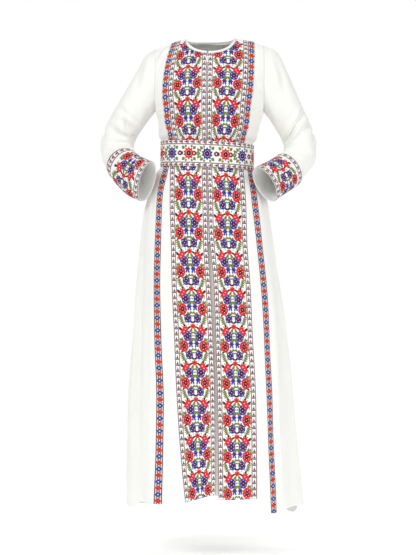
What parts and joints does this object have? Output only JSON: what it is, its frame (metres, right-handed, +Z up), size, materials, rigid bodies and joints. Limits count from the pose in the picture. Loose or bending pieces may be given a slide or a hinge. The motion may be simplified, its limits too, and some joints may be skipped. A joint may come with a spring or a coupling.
{
  "type": "caftan",
  "caption": "Long-sleeved ankle-length caftan in its worn form, with a zipped front, embroidered front bands, fixed belt and deep cuffs.",
  "frame": {"origin": "between the shoulders at the base of the neck, where the wearer's shoulders carry the garment", "axes": "+Z up, -Y to the front of the garment, +X to the side that the picture shows on the right"},
  "size_m": [0.6402, 0.4052, 1.4184],
  "materials": {
    "crepe": "matt ivory crepe with a soft sheen",
    "embroidered_crepe": "ivory crepe under dense red, blue, maroon and olive embroidery",
    "embroidered_tape": "narrow tape of red and blue flowers with brown edges",
    "underlay_crepe": "greige crepe in the shade of the centre pleat",
    "zip_cloth": "white woven tape with a closed coil",
    "white_lacquer": "gloss white lacquer"
  },
  "bodies": {
    "garment": {"bodice_back": "crepe", "bodice_side_left": "crepe", "bodice_side_right": "crepe", "bodice_panel_left": "embroidered_crepe", "bodice_panel_right": "embroidered_crepe", "bodice_tape_left": "embroidered_tape", "bodice_tape_right": "embroidered_tape", "neck_binding": "crepe", "sleeve_left": "crepe", "sleeve_right": "crepe", "cuff_left": "embroidered_crepe", "cuff_right": "embroidered_crepe", "belt": "embroidered_crepe", "skirt_panel_left": "embroidered_crepe", "skirt_panel_right": "embroidered_crepe", "skirt_gore_left": "crepe", "skirt_gore_right": "crepe", "skirt_tape_left": "embroidered_tape", "skirt_tape_right": "embroidered_tape", "skirt_back_left": "crepe", "skirt_back_right": "crepe", "centre_front_underlay": "underlay_crepe", "zip_chain": "zip_cloth", "zip_bottom_stop": "white_lacquer", "zip_slider": "white_lacquer"},
    "pull_tab": {"zip_pull_tab": "white_lacquer"}
  },
  "joints": [
    {"name": "pull_tab_hinge", "type": "hinge", "parent": "garment", "child": "pull_tab", "pos_m": [-0.005, -0.0928, -0.05843], "axis": [-1, 0, 0], "range_deg": [0, 150]}
  ]
}
